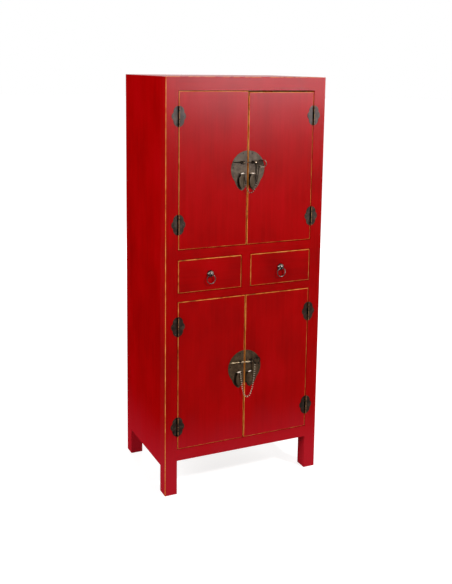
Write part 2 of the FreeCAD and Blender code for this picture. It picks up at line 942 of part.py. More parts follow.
def drawer_box(side_name):
    """The two sides and the back of a drawer."""
    side = sides[side_name]
    inner, outer = drawer_spans(side)
    y0 = front_y + drawer_front_thickness
    ys = (y0, y0 + drawer_box_length)
    low_z = drawer_opening_z + runner_clearance
    groove = drawer_bottom_block(side, joint_clearance)
    solids = []
    for x, sign in ((inner, side), (outer, -side)):
        board = block((x, x + sign * drawer_side_thickness), ys, (low_z, drawer_side_top()))
        solids.append(joined(board, drawer_side_tongue(x, sign)).cut(groove))
    xs = (inner + side * drawer_side_thickness, outer - side * drawer_side_thickness)
    back_low = low_z + drawer_groove_rise + drawer_bottom_thickness
    back_ys = (ys[1] - drawer_side_thickness, ys[1])
    solids.append(block(xs, back_ys, (back_low, drawer_side_top() - drawer_back_drop)))
    return solids


def pull_knob(side_name):
    """A domed boss with a stem through the drawer front and a cross hole for the ring."""
    x = sides[side_name] * drawer_middle_x
    foot = vec(x, front_y, pull_z)
    dome = Part.makeSphere(pull_radius, foot, vec(0, -1, 0), 0, 90, 360)
    inside = vec(x, front_y + drawer_front_thickness, pull_z)
    stem = rod(pull_stem_radius, foot, inside)
    washer = rod(pull_washer_radius, inside, inside + vec(0, pull_washer_thickness, 0))
    return joined(dome, stem, washer).cut([ring_bore(x)] + ring_room(x))


def ring_bore(x):
    """The straight hole through the boss."""
    radius = ring_wire_radius + running_clearance
    reach = vec(pull_radius + overrun, 0, 0)
    middle = vec(x, ring_y, ring_z)
    return rod(radius, middle - reach, middle + reach)


def ring_room(x):
    """The flared space that the bent ring needs beside the hole as it swings."""
    bend = ring_radius - ring_wire_radius - running_clearance
    reach = pull_radius
    flare = ring_radius - math.sqrt(bend**2 - reach**2)
    centre = vec(x, ring_y, ring_z)
    crown = centre - vec(0, 0, ring_wire_radius + running_clearance)
    left = centre + vec(-reach, 0, -flare)
    right = centre + vec(reach, 0, -flare)
    edges = [
        Part.Arc(left, crown, right).toShape(),
        Part.makeLine(right, centre + vec(reach, 0, 0)),
        Part.makeLine(centre + vec(reach, 0, 0), centre + vec(-reach, 0, 0)),
        Part.makeLine(centre + vec(-reach, 0, 0), left),
    ]
    outwards = vec(-1, 0, 0)
    room = vec(0, ring_wire_radius + running_clearance, 0)
    face = Part.Face(Part.Wire(edges))
    face.rotate(centre, outwards, -ring_swing_back)
    swing = face.revolve(centre, outwards, ring_swing_back + ring_swing_out)
    behind = face.extrude(FreeCAD.Rotation(outwards, -ring_swing_back).multVec(room))
    face.rotate(centre, outwards, ring_swing_back + ring_swing_out)
    ahead = face.extrude(-FreeCAD.Rotation(outwards, ring_swing_out).multVec(room))
    return [swing, behind, ahead]


def pull_ring(side_name):
    """The ring that hangs in the boss."""
    centre = vec(sides[side_name] * drawer_middle_x, ring_y, ring_z - ring_radius)
    return Part.makeTorus(ring_radius, ring_wire_radius, centre, vec(0, 1, 0))


# All the parts by name


def build_frame():
    """The parts that stand still."""
    parts = {}
    for name in sides:
        parts[f"front_{name}_leg"] = leg(name, True)
        parts[f"back_{name}_leg"] = leg(name, False)
        parts[f"{name}_side_panel"] = side_panel(name)
    parts["front_top_rail"] = front_rail("top")
    parts["front_middle_rails"] = [front_rail("lower"), front_rail("upper")]
    parts["front_bottom_rail"] = front_rail("bottom")
    parts["drawer_divider"] = drawer_divider()
    parts["back_rails"] = [back_rail(name) for name in back_rails]
    parts["back_panels"] = [back_panel_block("bottom", "middle"), back_panel_block("middle", "top")]
    parts["top_panel"] = top_panel()
    parts["upper_cupboard_floor"] = cupboard_board("upper_floor")
    parts["lower_cupboard_ceiling"] = cupboard_board("lower_ceiling")
    parts["lower_cupboard_floor"] = cupboard_board("lower_floor")
    parts["shelves"] = [cupboard_board("lower_shelf"), cupboard_board("upper_shelf")]
    parts["board_cleats"] = cleats()
    parts["drawer_guides"] = drawer_guides()
    parts["hinge_frame_leaves"] = frame_leaves()
    parts["hinge_pins"] = hinge_pins()
    parts["hinge_frame_nails"] = frame_nails()
    return parts


def build_doors():
    """The doors with their ironwork."""
    parts = {}
    for level in levels:
        for name in sides:
            door = f"{level}_{name}"
            parts[f"{door}_door_board"] = door_board(level, name)
            parts[f"{door}_hinge_leaves"] = door_leaves(level, name)
            parts[f"{door}_door_nails"] = door_nails(level, name)
            parts[f"{door}_lock_plate"] = lock_plate(level, name)
            parts[f"{door}_staples"] = staples(level, name)
            parts[f"{door}_pendant"] = pendant(level, name)
        parts[f"{level}_latch_pin"] = latch_pin(level)
        parts[f"{level}_latch_chain"] = latch_chain(level)
    return parts


def build_drawers():
    """The two drawers with their pulls."""
    parts = {}
    for name, side in sides.items():
        parts[f"{name}_drawer_front"] = drawer_front(name)
        parts[f"{name}_drawer_box"] = drawer_box(name)
        parts[f"{name}_drawer_bottom"] = drawer_bottom_block(side)
        parts[f"{name}_pull_knob"] = pull_knob(name)
        parts[f"{name}_pull_ring"] = pull_ring(name)
    return parts


os.makedirs("parts", exist_ok=True)
for name, shape in {**build_frame(), **build_doors(), **build_drawers()}.items():
    if isinstance(shape, list):
        shape = Part.makeCompound(shape)
    shape.exportStep(f"parts/{name}.step")
    print(name, "solids", len(shape.Solids), "valid", shape.isValid(), "volume", round(shape.Volume, 1))
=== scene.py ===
import math

import bmesh
import bpy
from mathutils import Matrix, Vector


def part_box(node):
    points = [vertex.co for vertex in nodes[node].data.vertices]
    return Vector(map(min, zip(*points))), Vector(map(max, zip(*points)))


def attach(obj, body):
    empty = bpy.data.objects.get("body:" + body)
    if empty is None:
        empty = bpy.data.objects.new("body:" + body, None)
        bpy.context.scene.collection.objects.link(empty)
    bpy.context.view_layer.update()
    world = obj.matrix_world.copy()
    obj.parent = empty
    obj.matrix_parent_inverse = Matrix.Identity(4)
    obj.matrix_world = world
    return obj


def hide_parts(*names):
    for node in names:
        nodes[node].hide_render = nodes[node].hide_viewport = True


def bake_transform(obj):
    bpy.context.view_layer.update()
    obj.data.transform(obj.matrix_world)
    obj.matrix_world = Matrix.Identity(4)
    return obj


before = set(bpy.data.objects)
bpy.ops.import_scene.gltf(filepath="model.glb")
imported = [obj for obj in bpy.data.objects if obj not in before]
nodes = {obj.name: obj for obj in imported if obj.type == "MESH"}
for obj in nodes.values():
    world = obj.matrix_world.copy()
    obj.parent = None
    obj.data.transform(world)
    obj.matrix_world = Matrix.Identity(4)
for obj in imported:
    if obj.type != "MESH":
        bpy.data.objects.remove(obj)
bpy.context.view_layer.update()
print("cabinet loaded:", len(nodes), "nodes")

levels = ("upper", "lower")
sides = ("left", "right")
doors = [(level, side, level + "_" + side) for level in levels for side in sides]


cameraLook = {
    "place": (-1.0705058, -2.3301202, 1.2445562),
    "turnRight": 24.9986,  # degrees
    "tiltDown": 9.0801,
    "roll": 0.7899,
    "sensor": 36.0,
    "lens": 52.476,
    "shift": (-0.00327, -0.1573),
}


def placeCamera():
    camera = bpy.data.objects.new("camera", bpy.data.cameras.new("camera"))
    bpy.context.scene.collection.objects.link(camera)
    turn = Matrix.Rotation(math.radians(-cameraLook["turnRight"]), 4, "Z")
    turn = turn @ Matrix.Rotation(math.radians(90 - cameraLook["tiltDown"]), 4, "X")
    turn = turn @ Matrix.Rotation(math.radians(cameraLook["roll"]), 4, "Z")
    camera.matrix_world = Matrix.Translation(cameraLook["place"]) @ turn
    camera.data.sensor_width = cameraLook["sensor"]
    camera.data.lens = cameraLook["lens"]
    camera.data.shift_x, camera.data.shift_y = cameraLook["shift"]
    bpy.context.scene.camera = camera


# glossOnly: seen in the shine alone. diffuseOnly: left out of the shine. spread is in degrees.
lamps = {
    "sheenBox": {
        "place": (1.62, -3.30, 1.32),
        "aim": (0.0, -0.17, 1.2),
        "size": (1.35, 0.60),
        "power": 25.0,
        "spread": 60,
        "colour": (1.0, 0.93, 1.0),
        "glossOnly": True,
    },
    "keyLamp": {"place": (1.45, -2.30, 2.50), "aim": (0.0, -0.17, 0.8), "size": (0.4, 0.4), "power": 76},
    "leftFill": {"place": (-3.00, -0.90, 1.75), "aim": (-0.25, 0.0, 0.6), "size": (1.6, 1.6), "power": 70},
    "backFill": {
        "place": (0.60, 3.20, 1.90),
        "aim": (0.0, 0.18, 0.6),
        "size": (1.6, 1.6),
        "power": 56,
        "diffuseOnly": True,
    },
    "rightFill": {"place": (3.20, 0.60, 1.70), "aim": (0.25, 0.0, 0.6), "size": (1.4, 1.4), "power": 42},
}
studio = {
    "ambient": 0.20,
    "floorColour": (0.45, 0.45, 0.45),
    "floorRoughness": 0.9,
    "floorGlow": 0.80,  # near the cabinet; it grows to 1 between the two distances
    "glowReach": (1.0, 3.2),
    "floorRadius": 30.0,
    "floorSides": 96,
}


def placeLamps():
    for name, lamp in lamps.items():
        light = bpy.data.lights.new(name, "AREA")
        light.shape = "RECTANGLE"
        light.size, light.size_y = lamp["size"]
        light.energy = lamp["power"]
        light.color = lamp.get("colour", (1.0, 1.0, 1.0))
        light.spread = math.radians(lamp.get("spread", 180))
        holder = bpy.data.objects.new(name, light)
        holder.location = lamp["place"]
        toAim = Vector(lamp["aim"]) - Vector(lamp["place"])
        holder.rotation_euler = toAim.to_track_quat("-Z", "Y").to_euler()
        holder.visible_camera = False
        holder.visible_diffuse = not lamp.get("glossOnly", False)
        holder.visible_glossy = not lamp.get("diffuseOnly", False)
        bpy.context.scene.collection.objects.link(holder)


noShift = (0.0, 0.0, 0.0)


class Flow:  # a socket of a material, so that masks can be written as sums
    def __init__(self, finish, socket):
        self.finish = finish
        self.socket = socket

    def maths(self, operation, *values):
        return self.finish.add("ShaderNodeMath", {"operation": operation}, dict(enumerate(values)))

    def __add__(self, other):
        return self.maths("ADD", self, other)

    def __radd__(self, other):
        return self.maths("ADD", other, self)

    def __sub__(self, other):
        return self.maths("SUBTRACT", self, other)

    def __rsub__(self, other):
        return self.maths("SUBTRACT", other, self)

    def __mul__(self, other):
        return self.maths("MULTIPLY", self, other)

    def __rmul__(self, other):
        return self.maths("MULTIPLY", other, self)

    def least(self, other):
        return self.maths("MINIMUM", self, other)

    def most(self, other):
        return self.maths("MAXIMUM", self, other)

    def size(self):
        return self.maths("ABSOLUTE", self)

    def rise(self, low, high):  # 0 below low, 1 above high, smooth between
        settings = {"interpolation_type": "SMOOTHSTEP", "clamp": True}
        values = {"Value": self, "From Min": low, "From Max": high}
        return self.finish.add("ShaderNodeMapRange", settings, values)

    def fall(self, low, high):  # 1 below low, 0 above high
        settings = {"interpolation_type": "SMOOTHSTEP", "clamp": True}
        values = {"Value": self, "From Min": low, "From Max": high, "To Min": 1.0, "To Max": 0.0}
        return self.finish.add("ShaderNodeMapRange", settings, values)


class Finish:  # the nodes of one material, or of the world, while they are being made
    def __init__(self, owner):
        self.owner = owner
        owner.use_nodes = True
        self.tree = owner.node_tree
        self.tree.nodes.clear()
        self.place = self.add("ShaderNodeTexCoord", output="Object")
        apart = self.add("ShaderNodeSeparateXYZ", values={0: self.place}).socket.node
        self.x, self.y, self.z = (Flow(self, socket) for socket in apart.outputs)

    def add(self, kind, settings=None, values=None, output=0):
        node = self.tree.nodes.new(kind)
        for key, value in (settings or {}).items():
            if key == "stops":
                ramp = node.color_ramp.elements
                while len(ramp) < len(value):
                    ramp.new(0.5)
                for stop, (position, colour) in zip(ramp, value):
                    stop.position = position
                    stop.color = (*colour, 1.0)
            else:
                setattr(node, key, value)
        for key, value in (values or {}).items():
            socket = node.inputs[key]
            if isinstance(value, Flow):
                self.tree.links.new(value.socket, socket)
            elif isinstance(value, tuple) and len(value) < len(socket.default_value):
                socket.default_value = (*value, 1.0)
            else:
                socket.default_value = value
        return Flow(self, node.outputs[output]) if node.outputs else None

    def stretched(self, scale, shift):  # the piece's place in cycles per metre
        values = {"Location": shift, "Scale": scale}
        return self.add("ShaderNodeMapping", values={"Vector": self.place, **values})

    def noise(self, scale, detail, roughness=0.55, shift=noShift):
        vector = self.stretched(scale if isinstance(scale, tuple) else (scale,) * 3, shift)
        values = {"Vector": vector, "Scale": 1.0, "Detail": detail, "Roughness": roughness}
        return self.add("ShaderNodeTexNoise", values=values)

    def cells(self, scale, shift):
        vector = self.stretched((scale,) * 3, shift)
        return self.add("ShaderNodeTexVoronoi", values={"Vector": vector, "Scale": 1.0})

    def ramp(self, value, *stops):
        return self.add("ShaderNodeValToRGB", {"stops": stops}, {"Fac": value})

    def blend(self, share, first, second):  # of colours
        values = {"Factor": share, 6: first, 7: second}
        return self.add("ShaderNodeMix", {"data_type": "RGBA"}, values, output=2)

    def mix(self, share, first, second):  # of numbers
        return self.add("ShaderNodeMix", values={0: share, 2: first, 3: second})

    def bump(self, height, distance):
        values = {"Height": height, "Distance": distance, "Strength": 1.0}
        return self.add("ShaderNodeBump", values=values)

    def seen(self):  # 1 where the white surroundings show: in the view, in gloss and through glass
        rays = ["Is Camera Ray", "Is Glossy Ray", "Is Transmission Ray"]
        camera, glossy, through = (self.add("ShaderNodeLightPath", output=ray) for ray in rays)
        return camera.most(glossy).most(through)

    def done(self, values):
        surface = self.add("ShaderNodeBsdfPrincipled", values=values)
        self.add("ShaderNodeOutputMaterial", values={"Surface": surface})
        return self.owner


def paint(node, material):
    mesh = nodes[node].data
    mesh.materials.clear()
    mesh.materials.append(material)


def buildStudio():
    world = bpy.data.worlds.new("studio")
    bpy.context.scene.world = world
    air = Finish(world)
    white = air.blend(air.seen(), (studio["ambient"],) * 3, (1.0, 1.0, 1.0))
    sky = air.add("ShaderNodeBackground", values={"Color": white, "Strength": 1.0})
    air.add("ShaderNodeOutputWorld", values={"Surface": sky})

    mesh = bpy.data.meshes.new("floor")
    bm = bmesh.new()
    bmesh.ops.create_circle(bm, cap_ends=True, segments=studio["floorSides"], radius=studio["floorRadius"])
    bm.to_mesh(mesh)
    bm.free()
    floor = bpy.data.objects.new("floor", mesh)
    bpy.context.scene.collection.objects.link(floor)
    f = Finish(bpy.data.materials.new("paleFloor"))
    away = f.add("ShaderNodeVectorMath", {"operation": "LENGTH"}, {0: f.place}, output="Value")
    glow = studio["floorGlow"] + (1 - studio["floorGlow"]) * away.rise(*studio["glowReach"])
    glow = f.blend(glow * f.seen(), (0.0, 0.0, 0.0), (1.0, 1.0, 1.0))
    values = {
        "Base Color": studio["floorColour"],
        "Roughness": studio["floorRoughness"],
        "Specular IOR Level": 0.0,
        "Emission Color": glow,
        "Emission Strength": 1.0,
    }
    mesh.materials.append(f.done(values))


bpy.context.scene.view_settings.view_transform = "Standard"
placeCamera()
placeLamps()
buildStudio()
print("camera, lamps and floor in place")


# where the ironwork sits, in metres; the names of doors are level_side
fittings = {
    "middleZ": {"upper": 0.95, "lower": 0.3585},  # of a pair of lock plates
    "eyeX": 0.0175,  # of the latch pin's eyes, from the middle
    "eyeZ": 0.0192,  # above the plates' middle
    "barX": {"upper_left": -0.0196, "upper_right": 0.0134, "lower_left": -0.0202, "lower_right": 0.0144},
    "barDrop": {"upper_left": 0.012, "upper_right": 0.013, "lower_left": 0.011, "lower_right": 0.0124},
    "knuckleX": 0.21215,  # of the hinges
    "knuckleFront": -0.1690,
    "ringX": 0.11325,  # of the drawer pulls
    "ringZ": 0.6513,
}

# scales of patterns are in cycles per metre; pairs are across and along the grain
bareWoodLook = {
    "pale": (0.50, 0.33, 0.18),
    "middle": (0.38, 0.235, 0.12),
    "dark": (0.27, 0.15, 0.07),
    "rings": (70.0, 3.5),
    "pores": (620.0, 18.0),
    "patches": 7.0,
    "ringShare": 0.9,
    "poreShare": 0.35,
    "patchShare": 0.4,
    "darker": 0.32,
    "stops": (0.25, 0.50, 0.75),  # tones of dark, middle and pale
    "edgeRoughness": 0.72,
    "roughness": 0.62,
    "rougher": 0.2,
    "shine": 0.3,
    "bump": 0.0004,
}


def grainScale(along, scales):
    across, lengthwise = scales
    return tuple(lengthwise if axis == along else across for axis in "xyz")


def bareWood(f, along, shift):
    # colour and height of unpainted boards; along is the axis that the grain runs on
    look = bareWoodLook
    rings = f.noise(grainScale(along, look["rings"]), 4.0, 0.6, shift)
    pores = f.noise(grainScale(along, look["pores"]), 2.0, 0.5, shift)
    patches = f.noise(look["patches"], 2.0, 0.5, shift)
    tone = rings * look["ringShare"] + pores * look["poreShare"] + patches * look["patchShare"] - look["darker"]
    return f.ramp(tone, *zip(look["stops"], (look["dark"], look["middle"], look["pale"]))), tone


lacquerLook = {
    "dark": (0.245, 0.0, 0.0),
    "middle": (0.370, 0.0004, 0.0006),
    "bright": (0.470, 0.001, 0.004),
    "speck": (0.09, 0.003, 0.002),
    "stops": (0.12, 0.50, 0.88),  # tones of dark, middle and bright
    # a pale pinkish haze near the floor: partly settled dirt, partly a painted reflection of the floor
    "dustAndSheen": (0.52, 0.014, 0.027),
    "dustAndSheenReach": (0.03, 0.25),
    "dustAndSheenRagged": 0.12,
    "dustAndSheenShare": 0.7,
    "streakScale": (85.0, 4.5),
    "strokeScale": (420.0, 9.0),
    "cloudScale": (11.0, 11.0, 6.5),
    "speckScale": 330.0,
    "speckFrom": (0.70, 0.78),
    "speckClouds": (0.40, 0.60),
    "wipedScale": 16.0,
    "pitScale": 210.0,
    "streaks": 0.5,  # how strongly each pattern shows
    "clouds": 0.8,
    "strokes": 0.2,
    "specks": 0.5,
    "deeper": 0.12,  # painted shade: how much darker the lacquer is painted round the lower lock, for the light falling off down the front
    "deeperFrom": (0.30, 0.42),
    "deeperTo": (0.62, 0.80),
    "coatFront": 0.06,
    "coatTop": 0.7,
    "coatBehind": 0.35,  # share of the front's coat that the other faces have
    "wiped": 0.36,
    "coatRoughness": 0.24,
    "roughness": 0.52,
    "streakRoughness": 0.25,
    "bump": 0.00022,
    "frontY": -0.1655,
    "frontReach": (0.0004, 0.0012),  # behind the front
    "topZ": 1.21,
    "topReach": (-0.0012, -0.0004),
    "bareReach": (0.0012, 0.0002),  # inside the bare face
}

# width: of the painted line on the front. edge: how far it runs down the board's edge. worn: how much has gone.
goldLook = {
    "corner": {"width": 0.0011, "edge": 0.0011, "worn": 0.26},
    "upper": {"width": 0.0012, "edge": 0.004, "worn": 0.27},
    "lower": {"width": 0.0012, "edge": 0.004, "worn": 0.31},
    "drawer": {"width": 0.0013, "edge": 0.005, "worn": 0.28},
    "pale": (0.90, 0.42, 0.095),
    "deep": (0.72, 0.23, 0.034),
    "dull": (0.24, 0.11, 0.03),
    "stops": (0.30, 0.42, 0.62),  # tones of dull, deep and pale
    "toneScale": 38.0,
    "waver": 0.0011,  # of its width, as a hand draws it
    "waverScale": 55.0,
    "softness": 0.0003,
    "patchScale": 9.0,  # where it has worn
    "patchShare": 0.35,
    "scuffScale": 160.0,
    "fade": 0.10,
    "footReach": (0.002, 0.004),
    "footWorn": 0.05,
    "plateHalf": (0.050, 0.056),  # between the lock plates the line is kept whole and painted brighter, painted light against the plates' shade
    "gapHalf": (0.004, 0.006),
    "paintedLight": 0.35,
    "relief": 0.8,
    "smoother": 0.08,
    "topShare": 0.75,  # of the thin line along the front edge of the top
    "topDown": (-0.0016, -0.0008),
    "topBack": (0.0012, 0.0020),
    "topScale": 70.0,
    "topWorn": (0.40, 0.52),
}

# along: the grain's axis. coat: shine of the outer faces. bare: axis and way in which the board is unpainted.
boards = {
    "front_left_leg": {"along": "z", "coat": 1.0, "gold": "corner"},
    "front_right_leg": {"along": "z", "coat": 1.0},
    "back_left_leg": {"along": "z", "coat": 0.3},
    "back_right_leg": {"along": "z", "coat": 0.3},
    "front_top_rail": {"along": "x", "coat": 1.0},
    "front_middle_rails": {"along": "x", "coat": 1.0},
    "front_bottom_rail": {"along": "x", "coat": 1.0},
    "drawer_divider": {"along": "z", "coat": 1.0},
    "back_rails": {"along": "x", "coat": 0.3},
    "left_side_panel": {"along": "z", "coat": 0.22, "bare": ("x", 1)},
    "right_side_panel": {"along": "z", "coat": 0.22, "bare": ("x", -1)},
    "top_panel": {"along": "x", "coat": 0.5, "bare": ("z", -1)},
}
for level, side, door in doors:
    boards[door + "_door_board"] = {"along": "z", "coat": 1.0, "bare": ("y", 1), "gold": level}
for side in sides:
    boards[side + "_drawer_front"] = {"along": "x", "coat": 1.0, "bare": ("y", 1), "gold": "drawer"}


def goldLine(f, node, place, shift):
    # where the painted line is: 1 on it, 0 off it; and its colour
    low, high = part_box(node)
    look, gold = goldLook, goldLook[place]
    back = (f.y - low.y) * (gold["width"] / gold["edge"])
    if place == "corner":
        inward = (f.x - low.x).most(back)
    else:
        level = (f.z - low.z).least(high.z - f.z)
        inward = (f.x - low.x).least(high.x - f.x).least(level).most(back)
    width = gold["width"] + (f.noise(look["waverScale"], 2.0, 0.5, shift) - 0.5) * look["waver"]
    line = (inward - width).fall(-look["softness"], look["softness"])
    patches = f.noise(look["patchScale"], 2.0, 0.5, shift)
    scuffs = f.noise(look["scuffScale"], 4.0, 0.65, shift)
    worn = patches * look["patchShare"] + scuffs * (1 - look["patchShare"])
    if place != "corner":  # the foot of a door or drawer is a little more worn
        worn = worn - (f.z - low.z).fall(*look["footReach"]) * look["footWorn"]
    kept = worn.rise(gold["worn"], gold["worn"] + look["fade"])
    tone = f.noise(look["toneScale"], 3.0, 0.6, shift)
    if place in levels:
        fromMiddle = (f.z - fittings["middleZ"][place]).size()
        between = fromMiddle.fall(*look["plateHalf"]) * f.x.size().fall(*look["gapHalf"])
        kept = kept.most(between)
        # painted light on the line between the lock plates
        tone = tone + between * look["paintedLight"]
    return line * kept, f.ramp(tone, *zip(look["stops"], (look["dull"], look["deep"], look["pale"])))


def lacqueredBoard(node, board, shift):
    look = lacquerLook
    low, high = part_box(node)
    f = Finish(bpy.data.materials.new(node + "_lacquer"))
    streaks = f.noise(grainScale(board["along"], look["streakScale"]), 5.0, 0.62, shift)
    strokes = f.noise(grainScale(board["along"], look["strokeScale"]), 2.0, 0.5, shift)
    clouds = f.noise(look["cloudScale"], 3.0, 0.55, shift)
    patterns = {"streaks": streaks, "clouds": clouds, "strokes": strokes}
    tone = 0.5
    for key, pattern in patterns.items():
        tone = tone + (pattern - 0.5) * look[key]
    # painted shade: the lacquer is darker between these heights
    tone = tone - look["deeper"] * f.z.rise(*look["deeperFrom"]) * f.z.fall(*look["deeperTo"])
    colour = f.ramp(tone, *zip(look["stops"], (look["dark"], look["middle"], look["bright"])))
    specks = f.noise(look["speckScale"], 2.0, 0.5, shift).rise(*look["speckFrom"])
    specks = specks * clouds.rise(*look["speckClouds"])
    colour = f.blend(specks * look["specks"], colour, look["speck"])
    # pinkish haze near the floor: settled dirt and a painted reflection of the floor
    dustAndSheen = (f.z + (clouds - 0.5) * look["dustAndSheenRagged"]).fall(*look["dustAndSheenReach"])
    colour = f.blend(dustAndSheen * look["dustAndSheenShare"], colour, look["dustAndSheen"])

    front = (f.y - look["frontY"]).fall(*look["frontReach"])
    top = (f.z - look["topZ"]).rise(*look["topReach"])
    outer = look["coatBehind"] + (1 - look["coatBehind"]) * front
    wiped = 1 - look["wiped"] / 2 + look["wiped"] * f.noise(look["wipedScale"], 3.0, 0.6, shift)
    coat = board["coat"] * look["coatFront"] * outer * wiped
    coat = coat.most(top * look["coatTop"])
    roughness = look["roughness"] + (streaks - 0.5) * look["streakRoughness"]
    height = streaks * 0.45 + strokes * 0.35 + f.noise(look["pitScale"], 2.0, 0.5, shift) * 0.3

    if board["coat"] == 1.0 or node == "top_panel":  # a thin worn line along the front edge of the top
        edge = (f.z - look["topZ"]).rise(*goldLook["topDown"]) * (f.y - look["frontY"]).fall(*goldLook["topBack"])
        edge = edge * f.noise(goldLook["topScale"], 3.0, 0.6, shift).rise(*goldLook["topWorn"])
        colour = f.blend(edge * goldLook["topShare"], colour, goldLook["deep"])
        coat = coat * (1 - edge)
    if "gold" in board:
        line, gold = goldLine(f, node, board["gold"], shift)
        colour = f.blend(line, colour, gold)
        height = height + line * goldLook["relief"]
        roughness = roughness - line * goldLook["smoother"]
    if "bare" in board:
        axis, way = board["bare"]
        place = {"x": f.x, "y": f.y, "z": f.z}[axis]
        edge = getattr(high if way > 0 else low, axis)
        start, full = (edge * way - inside for inside in look["bareReach"])
        bare = (place * way).rise(start, full) * (1 - top)
        wood, woodTone = bareWood(f, board["along"], shift)
        colour = f.blend(bare, colour, wood)
        coat = coat * (1 - bare)
        roughness = f.mix(bare, roughness, bareWoodLook["edgeRoughness"])
        height = height + bare * woodTone
    values = {
        "Base Color": colour,
        "Roughness": roughness,
        "Specular IOR Level": 0.0,
        "Coat Weight": coat,
        "Coat Roughness": look["coatRoughness"],
        "Coat IOR": 1.5,
        "Normal": f.bump(height, look["bump"]),
    }
    return f.done(values)


for number, (node, board) in enumerate(boards.items()):
    moves = "door" in node or "drawer_front" in node
    shift = (3.7 * number, 1.9 * number, 5.3 * number) if moves else noShift  # no two doors alike
    paint(node, lacqueredBoard(node, board, shift))
print("lacquered boards:", len(boards))

innerBoards = {
    "back_panels": "x",
    "upper_cupboard_floor": "x",
    "lower_cupboard_ceiling": "x",
    "lower_cupboard_floor": "x",
    "shelves": "x",
    "board_cleats": "y",
    "drawer_guides": "y",
    "left_drawer_box": "y",
    "right_drawer_box": "y",
    "left_drawer_bottom": "y",
    "right_drawer_bottom": "y",
}
for number, (node, along) in enumerate(innerBoards.items()):
    f = Finish(bpy.data.materials.new(node + "_wood"))
    wood, woodTone = bareWood(f, along, (2.1 * number, 4.3 * number, 1.3 * number))
    values = {
        "Base Color": wood,
        "Roughness": bareWoodLook["roughness"] + woodTone * bareWoodLook["rougher"],
        "Specular IOR Level": bareWoodLook["shine"],
        "Normal": f.bump(woodTone, bareWoodLook["bump"]),
    }
    paint(node, f.done(values))
print("bare boards:", len(innerBoards))


metals = {
    # the upper and lower plate and leaf bronzes are lit and shaded copies of one bronze: the upper ones are painted
    # a little lighter, a painted sheen for the light on the upper half
    "upperPlate": {
        "dark": (0.026, 0.018, 0.011),
        "middle": (0.047, 0.033, 0.020),
        "bright": (0.075, 0.056, 0.037),
        "metallic": 0.25,
        "rough": (0.45, 0.62),
        "coat": 0.11,
    },
    "lowerPlate": {
        "dark": (0.023, 0.013, 0.007),
        "middle": (0.046, 0.028, 0.015),
        "bright": (0.078, 0.050, 0.028),
        "metallic": 0.25,
        "rough": (0.45, 0.62),
        "coat": 0.08,
    },
    "upperLeaf": {
        "dark": (0.011, 0.008, 0.005),
        "middle": (0.025, 0.017, 0.012),
        "bright": (0.050, 0.037, 0.028),
        "metallic": 0.25,
        "rough": (0.45, 0.62),
        "coat": 0.11,
    },
    "lowerLeaf": {
        "dark": (0.010, 0.006, 0.004),
        "middle": (0.022, 0.013, 0.009),
        "bright": (0.050, 0.034, 0.024),
        "metallic": 0.25,
        "rough": (0.45, 0.62),
        "coat": 0.08,
    },
    "staple": {
        "dark": (0.020, 0.014, 0.010),
        "middle": (0.120, 0.085, 0.055),
        "bright": (0.560, 0.450, 0.320),
        "metallic": 0.9,
        "rough": (0.22, 0.38),
        "coat": 0.0,
    },
    "darkPin": {
        "dark": (0.004, 0.003, 0.002),
        "middle": (0.010, 0.007, 0.005),
        "bright": (0.080, 0.055, 0.036),
        "metallic": 0.5,
        "rough": (0.28, 0.50),
        "coat": 0.0,
    },
    "paleWire": {
        "dark": (0.030, 0.022, 0.016),
        "middle": (0.120, 0.090, 0.066),
        "bright": (0.260, 0.200, 0.155),
        "metallic": 0.5,
        "rough": (0.30, 0.50),
        "coat": 0.0,
    },
    # painted highlight: the bright bronze laid on the knobs' tops and the handles' rolled tops
    "paintedHighlightBronze": {
        "dark": (0.150, 0.115, 0.085),
        "middle": (0.360, 0.300, 0.240),
        "bright": (0.620, 0.540, 0.450),
        "metallic": 0.3,
        "rough": (0.28, 0.42),
        "coat": 0.3,
    },
    "brass": {
        "dark": (0.050, 0.034, 0.018),
        "middle": (0.300, 0.225, 0.130),
        "bright": (0.560, 0.470, 0.340),
        "metallic": 0.7,
        "rough": (0.24, 0.42),
        "coat": 0.0,
    },
    "darkChain": {
        "dark": (0.002, 0.002, 0.002),
        "middle": (0.010, 0.007, 0.006),
        "bright": (0.560, 0.440, 0.350),
        "metallic": 0.2,
        "rough": (0.28, 0.50),
        "coat": 0.0,
    },
    "brassChain": {
        "dark": (0.004, 0.003, 0.002),
        "middle": (0.070, 0.048, 0.032),
        "bright": (0.860, 0.720, 0.540),
        "metallic": 0.3,
        "rough": (0.26, 0.45),
        "coat": 0.0,
    },
    "nail": {
        "dark": (0.012, 0.008, 0.006),
        "middle": (0.026, 0.018, 0.013),
        "bright": (0.090, 0.068, 0.048),
        "metallic": 0.5,
        "rough": (0.35, 0.55),
        "coat": 0.0,
    },
    "pull": {
        "dark": (0.014, 0.012, 0.011),
        "middle": (0.038, 0.033, 0.030),
        "bright": (0.240, 0.215, 0.195),
        "metallic": 0.9,
        "rough": (0.22, 0.40),
        "coat": 0.0,
    },
}
patinaLook = {
    "cloudScale": 70.0,
    "gritScale": 900.0,
    "cellScale": 420.0,
    "roughScale": 240.0,
    "shineScale": 35.0,
    "clouds": 1.5,  # how strongly they show
    "grit": 0.6,
    "stops": (0.22, 0.50, 0.82),  # tones of dark, middle and bright
    "dullFrom": (0.52, 0.72),
    "duller": 0.25,
    "coatRoughness": 0.28,
}
pits = {"plate": 0.00014, "handle": 0.00010, "wire": 0.00005, "chain": 0.00004}  # how deep the surface is pitted
# colour of the painted shadow and shade on the ironwork
shadowColour = (0.004, 0.003, 0.002)


